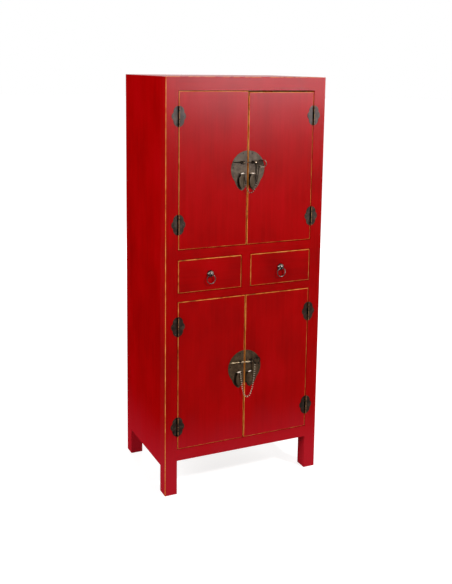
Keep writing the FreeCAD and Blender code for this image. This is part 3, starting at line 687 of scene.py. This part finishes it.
def patina(f, kind, shift, tone=None):
    # colour, metal share, roughness, height and shine of one kind of metal; tone goes from dark to bright
    metal, look = metals[kind], patinaLook
    clouds = f.noise(look["cloudScale"], 4.0, 0.62, shift)
    grit = f.noise(look["gritScale"], 3.0, 0.6, shift)
    if tone is None:
        tone = 0.5 + (clouds - 0.5) * look["clouds"] + (grit - 0.5) * look["grit"]
    colour = f.ramp(tone, *zip(look["stops"], (metal["dark"], metal["middle"], metal["bright"])))
    metallic = metal["metallic"] * (1 - clouds.rise(*look["dullFrom"]) * look["duller"])
    low, high = metal["rough"]
    roughness = low + (high - low) * f.noise(look["roughScale"], 3.0, 0.6, shift)
    height = grit * 0.6 + f.cells(look["cellScale"], shift) * 0.5
    coat = metal["coat"] * (0.5 + f.noise(look["shineScale"], 3.0, 0.6, shift))
    return {"colour": colour, "metallic": metallic, "roughness": roughness, "height": height, "coat": coat}


def mixed(f, share, first, second):
    both = {}
    for key in first:
        if key == "colour":
            both[key] = f.blend(share, first[key], second[key])
        else:
            both[key] = f.mix(share, first[key], second[key])
    return both


def shadePainted(f, parts, share, cover, colour):
    # painted shade covers that part of the colour and takes all the shine
    parts["colour"] = f.blend(share * cover, parts["colour"], colour)
    parts["coat"] = parts["coat"] * (1 - share)
    return parts


def metalDone(f, parts, depth):
    values = {
        "Base Color": parts["colour"],
        "Metallic": parts["metallic"],
        "Roughness": parts["roughness"],
        "Specular IOR Level": 0.0,
        "Coat Weight": parts["coat"],
        "Coat Roughness": patinaLook["coatRoughness"],
        "Coat IOR": 1.5,
        "Normal": f.bump(parts["height"], depth),
    }
    return f.done(values)


def metalFinish(name, kind, shift):
    f = Finish(bpy.data.materials.new(name))
    return metalDone(f, patina(f, kind, shift), pits["wire"])


# painted shadows on the plates, of the pin's eyes, its loop, its chain and one handle's end: across and up from the
# plates' middle, half width, half height and strength
plateShadows = {
    "upper_left": [(-0.0190, 0.0190, 0.0050, 0.0042, 0.85)],
    "upper_right": [
        (0.0150, 0.0200, 0.0046, 0.0040, 0.85),
        (0.0400, 0.0175, 0.0100, 0.0085, 0.70),
        (0.0262, -0.0160, 0.0026, 0.0330, 0.80),
        (0.0255, 0.0130, 0.0032, 0.0050, 0.85),
    ],
    "lower_left": [(-0.0170, 0.0180, 0.0032, 0.0045, 0.80)],
    "lower_right": [
        (0.0225, 0.0050, 0.0020, 0.0150, 0.70),
        (0.0415, 0.0255, 0.0062, 0.0050, 0.85),
        (0.0215, 0.0205, 0.0036, 0.0042, 0.80),
        (0.0215, -0.0125, 0.0042, 0.0030, 0.80),
    ],
}
# a larger painted shadow behind each leaf handle, partly grime where it knocks, measured from its bar
handleShadow = {"left": 0.0030, "down": 0.0230, "halfWidth": 0.0120, "halfHeight": 0.025, "strength": 0.75}
# scale and height of each kind's ragged rim, and where it starts and ends
shadowRims = {"handle": (120.0, 0.5, (0.75, 1.05)), "small": (300.0, 0.9, (0.65, 1.15))}


def spot(across, up, halfWidth, halfHeight):
    # squared distance from the middle of an oval: 1 on its rim
    wide = across * (1 / halfWidth)
    tall = up * (1 / halfHeight)
    return wide * wide + tall * tall


def plateFinish(name, level, side, shift):
    # a lock plate with painted shadow round the leaf handle, partly grime where it knocks against it, and round the
    # pin's eyes, its loop and its chain
    door = level + "_" + side
    f = Finish(bpy.data.materials.new(name))
    look, middle = handleShadow, fittings["middleZ"][level]
    across = f.x - (fittings["barX"][door] - look["left"])
    up = f.z - (middle - fittings["barDrop"][door] - look["down"])
    scale, height, reach = shadowRims["handle"]
    ragged = (f.noise(scale, 3.0, 0.6, shift) - 0.5) * height
    oval = spot(across, up, look["halfWidth"], look["halfHeight"])
    paintedShadow = (oval + ragged).fall(*reach) * look["strength"]
    scale, height, reach = shadowRims["small"]
    ragged = (f.noise(scale, 3.0, 0.6, shift) - 0.5) * height
    for right, above, halfWidth, halfHeight, strength in plateShadows[door]:
        oval = spot(f.x - right, f.z - middle - above, halfWidth, halfHeight)
        paintedShadow = paintedShadow.most((oval + ragged).fall(*reach) * strength)
    return metalDone(f, shadePainted(f, patina(f, level + "Plate", shift), paintedShadow, 1.0, shadowColour), pits["plate"])


pinLook = {
    "loopAlong": (0.8, 0.6),  # to the right and down
    "loopFrom": (0.0225, 0.0290),  # how far along the upper loop its pale end, a painted highlight, begins
    "shankPast": (0.0010, 0.0020),  # past the right eye's middle
}


def pinFinish(name, level, first, second):
    # the upper loop is painted pale at its far end, a painted highlight where it catches the light, and the lower
    # shank is bright as far as the right eye
    f = Finish(bpy.data.materials.new(name))
    if level == "upper":
        across, down = pinLook["loopAlong"]
        # a painted highlight on the far end of the upper loop
        share = (f.x * across - (f.z - fittings["middleZ"][level]) * down).rise(*pinLook["loopFrom"])
    else:
        share = f.x.rise(*(fittings["eyeX"] + past for past in pinLook["shankPast"]))
    parts = mixed(f, share, patina(f, first, noShift), patina(f, second, (3.0, 1.0, 2.0)))
    return metalDone(f, parts, pits["wire"])


# the eye's painted highlight on its right edge: how far past its middle, and half its height; and the height under
# which all is rubbed
stapleLook = {"edgePast": (0.0010, 0.0018), "edgeHalf": (0.0014, 0.0024), "barUnder": (0.0, 0.002)}


def stapleFinish(name, level, side, shift):
    # the pin's eye is black with a painted highlight on its right edge, and the handle's bar is rubbed all over
    f = Finish(bpy.data.materials.new(name))
    sign = -1 if side == "left" else 1
    up = f.z - fittings["middleZ"][level]
    # painted highlight on the right edge of the eye
    worn = (f.x - sign * fittings["eyeX"]).rise(*stapleLook["edgePast"])
    worn = worn * (up - fittings["eyeZ"]).size().fall(*stapleLook["edgeHalf"])
    worn = worn.most(up.fall(*stapleLook["barUnder"]))
    return metalDone(f, mixed(f, worn, patina(f, "darkPin", shift), patina(f, "staple", shift)), pits["wire"])


nailLook = {"black": (0.003, 0.002, 0.002), "share": 0.85, "reach": (0.08, 0.10)}  # reach: from the middle


def nailFinish(name, shift):
    # the nails of the lock plates, nearer the middle than those of the hinges, are black
    f = Finish(bpy.data.materials.new(name))
    parts = patina(f, "nail", shift)
    black = f.x.size().fall(*nailLook["reach"])
    parts["colour"] = f.blend(black * nailLook["share"], parts["colour"], nailLook["black"])
    return metalDone(f, parts, pits["wire"])


# the bright band on top of the dome is a painted highlight; the black where the ring goes in is painted shade
knobLook = {
    "crownUp": 0.0090,  # above the ring's pivot
    "crownBend": 60.0,
    "crownWidth": (0.0007, 0.0018),
    "crownShare": 0.45,
    "holeDown": 0.0010,
    "holeTall": 0.7,  # under 1, the dark is taller than it is wide
    "holeReach": (0.0030, 0.0044),
    "holeShare": 0.95,
    "holeShadeColour": (0.002, 0.002, 0.002),
}


def knobFinish(name, side):
    # a domed boss with a painted highlight along the top of the dome, and painted shade, black, where the ring goes
    # in
    look = knobLook
    f = Finish(bpy.data.materials.new(name))
    across = f.x - (fittings["ringX"] if side == "right" else -fittings["ringX"])
    up = f.z - fittings["ringZ"]
    crownHighlight = (up - look["crownUp"] + across * across * look["crownBend"]).size().fall(*look["crownWidth"])
    share = crownHighlight * look["crownShare"]
    parts = mixed(f, share, patina(f, "pull", noShift), patina(f, "paintedHighlightBronze", (1.0, 2.0, 3.0)))
    holeShade = (across.size() + (up + look["holeDown"]).size() * look["holeTall"]).fall(*look["holeReach"])
    return metalDone(f, shadePainted(f, parts, holeShade, look["holeShare"], look["holeShadeColour"]), pits["wire"])


hingeLook = {
    "turnover": (0.60, 0.70),  # height at which the lower hinges' darker bronze gives way to the upper ones', painted lighter for the light on the upper half
    "shadowLeft": 0.0030,  # of the knuckle, where the painted shadow lies
    "shadowScale": 140.0,
    "shadowWaver": 0.0006,
    "shadowReach": (0.0011, 0.0018),
    "shadowShare": 0.9,
    "gold": (0.50, 0.25, 0.09),
    "goldRight": 0.0004,
    "goldScale": 90.0,
    "goldWaver": 0.0010,
    "goldReach": (0.0006, 0.0010),
    "goldBack": (-0.0006, 0.0004),  # from the knuckle's front
    "wornScale": 210.0,
    "wornFrom": (0.42, 0.54),
    "goldShare": 0.7,
}


def hingeFinish(name, shift):
    # leaves that carry on the painted line over their knuckles, with a painted shadow in the corner on the left of
    # each knuckle
    look = hingeLook
    f = Finish(bpy.data.materials.new(name))
    parts = mixed(f, f.z.rise(*look["turnover"]), patina(f, "lowerLeaf", shift), patina(f, "upperLeaf", shift))
    fromLeft = f.x + fittings["knuckleX"]
    fromRight = f.x - fittings["knuckleX"]
    # painted shadow in the corner on the left of each knuckle
    corner = (fromLeft + look["shadowLeft"]).size().least((fromRight + look["shadowLeft"]).size())
    corner = corner + (f.noise(look["shadowScale"], 2.0) - 0.5) * look["shadowWaver"]
    corner = corner.fall(*look["shadowReach"])
    parts = shadePainted(f, parts, corner, look["shadowShare"], shadowColour)
    line = (fromLeft - look["goldRight"]).size().least((fromRight - look["goldRight"]).size())
    line = (line - (f.noise(look["goldScale"], 2.0) - 0.5) * look["goldWaver"]).fall(*look["goldReach"])
    line = line * (f.y - fittings["knuckleFront"]).fall(*look["goldBack"])
    line = line * f.noise(look["wornScale"], 3.0, 0.6).rise(*look["wornFrom"])
    parts["colour"] = f.blend(line * look["goldShare"], parts["colour"], look["gold"])
    parts["metallic"] = parts["metallic"] * (1 - line)
    return metalDone(f, parts, pits["plate"])


for level, side, door in doors:
    shift = (len(door) * 1.7, len(level) * 2.3, len(side) * 3.1)
    paint(door + "_lock_plate", plateFinish(door + "_plate_bronze", level, side, shift))
    paint(door + "_hinge_leaves", hingeFinish(door + "_hinge_bronze", shift))
    paint(door + "_door_nails", nailFinish(door + "_nail_bronze", shift))
    paint(door + "_staples", stapleFinish(door + "_staple_bronze", level, side, shift))
paint("upper_latch_pin", pinFinish("upper_pin_iron", "upper", "darkPin", "paleWire"))
paint("lower_latch_pin", pinFinish("lower_pin_brass", "lower", "brass", "darkPin"))
paint("hinge_frame_leaves", hingeFinish("frame_leaf_bronze", (9.0, 2.0, 4.0)))
paint("hinge_frame_nails", metalFinish("frame_nail_bronze", "nail", (7.0, 1.0, 3.0)))
paint("hinge_pins", metalFinish("hinge_pin_bronze", "nail", (5.0, 8.0, 2.0)))
for side in sides:
    paint(side + "_pull_knob", knobFinish(side + "_knob_steel", side))
    paint(side + "_pull_ring", metalFinish(side + "_ring_steel", "pull", (4.0, 2.0, 6.0)))
print("metal finishes done")


latchChain = {
    "first": {"upper": (-0.0143, -0.172898, 0.934337), "lower": (-0.0149, -0.172898, 0.343837)},
    "last": {"upper": (0.030823, -0.174498, 0.953002), "lower": (0.031149, -0.174498, 0.366092)},
    "links": {"upper": 41, "lower": 55},
    "pitch": 0.0034,
    "wire": 0.00038,
    "thickWire": 0.00050,  # a little stouter than in the drawing, on the same line
    "innerWidth": 0.00144,
    "slack": 0.00014,
    "endRing": 0.0035,
    "endWire": 0.0005,
    "endRise": 0.00293,
    "kind": {"upper": "darkChain", "lower": "brassChain"},
    "dull": {"upper": 0.22, "lower": 0.20},  # tone of the links that lie on edge
    "flatHighlight": {"upper": 0.26, "lower": 0.66},  # painted highlight: what the sides of the flat links have more
    "bow": {"upper": 0.20, "lower": 0.04},  # what the bow has more
    "bowDrop": (-0.046, -0.036),
    "mottleScale": 700.0,
    "mottle": 0.3,
    "linkSides": 5,
    "linkSteps": 4,
    "ringSides": 8,
    "ringSteps": 14,
}


def chainFinish(name, level):
    # the sides of links that lie flat are painted lighter, a painted highlight, and the bow is lighter in tone than
    # the rest
    chain = latchChain
    f = Finish(bpy.data.materials.new(name))
    shine = f.add("ShaderNodeAttribute", {"attribute_name": "shine"}, output="Fac")
    low = (f.z - fittings["middleZ"][level]).fall(*chain["bowDrop"])
    tone = chain["dull"][level] + shine * chain["flatHighlight"][level] + low * chain["bow"][level]
    tone = tone + (f.noise(chain["mottleScale"], 2.0) - 0.5) * chain["mottle"]
    return metalDone(f, patina(f, chain["kind"][level], noShift, tone), pits["chain"])


def chainPoints(level):
    # the links' ends along a hanging line of the chain's length, whose scale is found by halving
    first, last = Vector(latchChain["first"][level]), Vector(latchChain["last"][level])
    count, pitch = latchChain["links"][level], latchChain["pitch"]
    length = count * pitch
    across = math.hypot(last.x - first.x, last.y - first.y)
    rise = last.z - first.z
    small, large = across / 100, across * 100
    for _ in range(100):
        scale = (small + large) / 2
        if 2 * scale * math.sinh(min(across / (2 * scale), 300)) > math.sqrt(length**2 - rise**2):
            small = scale
        else:
            large = scale
    shift = scale * math.atanh(rise / length) - across / 2
    points = []
    for i in range(count + 1):
        along = scale * math.asinh(math.sinh(shift / scale) + i * pitch / scale)
        step = (last - first) * ((along - shift) / across)
        step.z = scale * (math.cosh(along / scale) - math.cosh(shift / scale))
        points.append(first + step)
    return points


def wireLoop(bm, halfLength, bend, wire, around, turns):
    # a loop of round wire: two half turns of radius bend with straight runs between, in the XZ plane
    circle = bmesh.ops.create_circle(bm, segments=around, radius=wire)["verts"]
    bmesh.ops.translate(bm, vec=(bend, 0, halfLength), verts=circle)
    ends = list({edge for vert in circle for edge in vert.link_edges})
    for way in (1, -1):
        cent = (0, 0, way * halfLength)
        spun = bmesh.ops.spin(
            bm, geom=ends, cent=cent, axis=(0, -1, 0), angle=math.pi, steps=turns, use_merge=False
        )["geom_last"]
        ends = [item for item in spun if isinstance(item, bmesh.types.BMEdge)]
        if halfLength > 0:
            pulled = bmesh.ops.extrude_edge_only(bm, edges=ends)["geom"]
            moved = [item for item in pulled if isinstance(item, bmesh.types.BMVert)]
            bmesh.ops.translate(bm, vec=(0, 0, -2 * way * halfLength), verts=moved)
            ends = [item for item in pulled if isinstance(item, bmesh.types.BMEdge)]
    bmesh.ops.remove_doubles(bm, verts=bm.verts, dist=wire * 0.05)
    bmesh.ops.recalc_face_normals(bm, faces=bm.faces)


def meshOf(bm, name):
    mesh = bpy.data.meshes.new(name)
    bm.to_mesh(mesh)
    bm.free()
    return mesh


def newPiece(bm, name, material):
    mesh = meshOf(bm, name)
    mesh.polygons.foreach_set("use_smooth", [True] * len(mesh.polygons))
    mesh.materials.append(material)
    piece = bpy.data.objects.new(name, mesh)
    bpy.context.scene.collection.objects.link(piece)
    return piece


def addCopy(bm, mesh, matrix):
    before = len(bm.verts)
    bm.from_mesh(mesh)
    bm.verts.ensure_lookup_table()
    bmesh.ops.transform(bm, matrix=matrix, verts=bm.verts[before:])


def buildChain(level):
    chain = latchChain
    bend = chain["innerWidth"] / 2 + chain["wire"]
    halfLength = chain["pitch"] / 2 + chain["wire"] + chain["slack"] / 2 - bend
    links = []
    for flat in (1, 0):
        blank = bmesh.new()
        wireLoop(blank, halfLength, bend, chain["thickWire"], chain["linkSides"], chain["linkSteps"])
        # a painted highlight on the sides of the links that lie flat
        shine = blank.verts.layers.float.new("shine")
        for vert in blank.verts:
            vert[shine] = flat * min(1, max(0, 1 - (abs(vert.co.z) - halfLength) / bend))
        links.append(meshOf(blank, "link"))
    blank = bmesh.new()
    wireLoop(blank, 0, chain["endRing"], chain["endWire"], chain["ringSides"], chain["ringSteps"])
    ring = meshOf(blank, "ring")
    bm = bmesh.new()
    points = chainPoints(level)
    for i, (start, stop) in enumerate(zip(points, points[1:])):
        along = (stop - start).normalized()
        flat = Vector((0, -1, 0)).cross(along).normalized()
        turn = Matrix((flat, along.cross(flat), along)).transposed().to_4x4()
        quarter = Matrix.Rotation(math.pi / 2 * (i % 2), 4, "Z")
        addCopy(bm, links[i % 2], Matrix.Translation((start + stop) / 2) @ turn @ quarter)
    for end in (points[0], points[-1]):
        centre = end + Vector((0, 0, chain["endRise"]))
        addCopy(bm, ring, Matrix.Translation(centre) @ Matrix.Rotation(math.pi / 2, 4, "Z"))
    piece = newPiece(bm, level + "_hanging_chain", chainFinish(level + "_chain_bronze", level))
    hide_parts(level + "_latch_chain")
    start, stop = points[0].copy(), points[-1].copy()
    stop.y, stop.z = start.y, start.z  # the end brought to the start's depth and height
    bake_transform(piece)


for level in levels:
    buildChain(level)
print("latch chains hung")


pendantLook = {
    "length": 0.044,
    "halfWidth": 0.0108,
    "thickness": 0.0011,
    "barrel": 0.009,
    "barrelRadius": 0.0023,
    "barrelRound": 0.0004,
    "barrelSides": 20,
    "smoothing": 2,
    "rim": 0.0016,
    "dish": 0.0009,
    "forward": 0.0005,
    "barY": -0.1713,
    "turn": {"upper_left": -17.0, "upper_right": -17.0, "lower_left": -19.0, "lower_right": 18.0},
    # half of the leaf from the top down, in half widths and lengths
    "outline": [
        (0.0, -0.03),
        (0.29, -0.045),
        (0.36, -0.12),
        (0.80, -0.21),
        (1.02, -0.45),
        (0.90, -0.68),
        (0.52, -0.88),
        (0.0, -1.0),
    ],
    # the upper leaf handles are painted lighter in tone than the lower ones, a painted sheen for the light on the
    # upper half
    "tone": {"upper": 0.66, "lower": 0.52},
    "mottleScale": 70.0,
    "mottle": 1.5,
    "slope": 0.22,  # of the painted highlight band on the rolled top
    "band": (0.0014, 0.0024),
    "bandFrom": (-0.0042, -0.0030),
    "bandLeft": (-0.008, 0.004),  # its left end is this much wider
    "bandWider": 0.0004,
}


def handleFinish(name, level, side):
    # plate bronze with a painted highlight band along the rolled top
    look = pendantLook
    door = level + "_" + side
    shift = (2.0, 6.0, 3.0 * len(side))
    f = Finish(bpy.data.materials.new(name))
    across = f.x - fittings["barX"][door]
    up = f.z - (fittings["middleZ"][level] - fittings["barDrop"][door])
    slant = (up - across * look["slope"]).size() - across.fall(*look["bandLeft"]) * look["bandWider"]
    # a painted highlight band along the rolled top
    rolled = slant.fall(*look["band"]) * up.rise(*look["bandFrom"])
    tone = look["tone"][level] + (f.noise(look["mottleScale"], 4.0, 0.62, shift) - 0.5) * look["mottle"]
    parts = mixed(f, rolled, patina(f, level + "Plate", shift, tone), patina(f, "paintedHighlightBronze", shift))
    return metalDone(f, parts, pits["handle"])


def buildPendant(level, side):
    look = pendantLook
    door = level + "_" + side
    bm = bmesh.new()
    half = [bm.verts.new((x * look["halfWidth"], 0, z * look["length"])) for x, z in look["outline"]]
    bm.faces.new(half)
    bmesh.ops.mirror(bm, geom=bm.verts[:] + bm.edges[:] + bm.faces[:], axis="X", merge_dist=1e-6)
    bmesh.ops.recalc_face_normals(bm, faces=bm.faces)
    bmesh.ops.dissolve_edges(bm, edges=[edge for edge in bm.edges if len(edge.link_faces) == 2])
    face = bm.faces[:][0]
    if face.normal.y > 0:
        bmesh.ops.reverse_faces(bm, faces=[face])
    bmesh.ops.inset_region(bm, faces=[face], thickness=look["rim"], depth=0.0)
    bmesh.ops.inset_region(bm, faces=[face], thickness=look["rim"] * 0.5, depth=-look["dish"])
    bmesh.ops.inset_region(bm, faces=[face], thickness=look["rim"] * 1.6, depth=0.0)
    bmesh.ops.poke(bm, faces=[face], offset=look["dish"] * 0.6)
    bmesh.ops.solidify(bm, geom=bm.faces[:], thickness=look["thickness"])
    bmesh.ops.recalc_face_normals(bm, faces=bm.faces)
    twist = Matrix.Rotation(math.radians(look["turn"][door]), 3, (0, 0, -1))
    bmesh.ops.rotate(bm, verts=bm.verts, cent=(0, 0, 0), matrix=twist)
    bmesh.ops.translate(bm, vec=(0, -look["forward"], 0), verts=bm.verts)
    radius = look["barrelRadius"]
    barrel = bmesh.ops.create_cone(
        bm, cap_ends=True, segments=look["barrelSides"], radius1=radius, radius2=radius, depth=look["barrel"]
    )["verts"]
    bmesh.ops.rotate(bm, verts=barrel, cent=(0, 0, 0), matrix=Matrix.Rotation(math.pi / 2, 3, "Y"))
    barrelEdges = [edge for edge in bm.edges if edge.is_manifold and edge.verts[0] in barrel]
    rims = [edge for edge in barrelEdges if edge.calc_face_angle(0) > 1.2]
    bmesh.ops.bevel(bm, geom=rims, offset=look["barrelRound"], segments=2, affect="EDGES", profile=0.5, material=-1)
    place = (fittings["barX"][door], look["barY"], fittings["middleZ"][level] - fittings["barDrop"][door])
    bmesh.ops.translate(bm, vec=place, verts=bm.verts)
    piece = newPiece(bm, door + "_leaf_handle", handleFinish(door + "_handle_bronze", level, side))
    smooth = piece.modifiers.new("rounded", "SUBSURF")
    smooth.levels = smooth.render_levels = look["smoothing"]
    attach(piece, door + "_handle")
    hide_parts(door + "_pendant")


for level, side, door in doors:
    buildPendant(level, side)
print("leaf handles done")
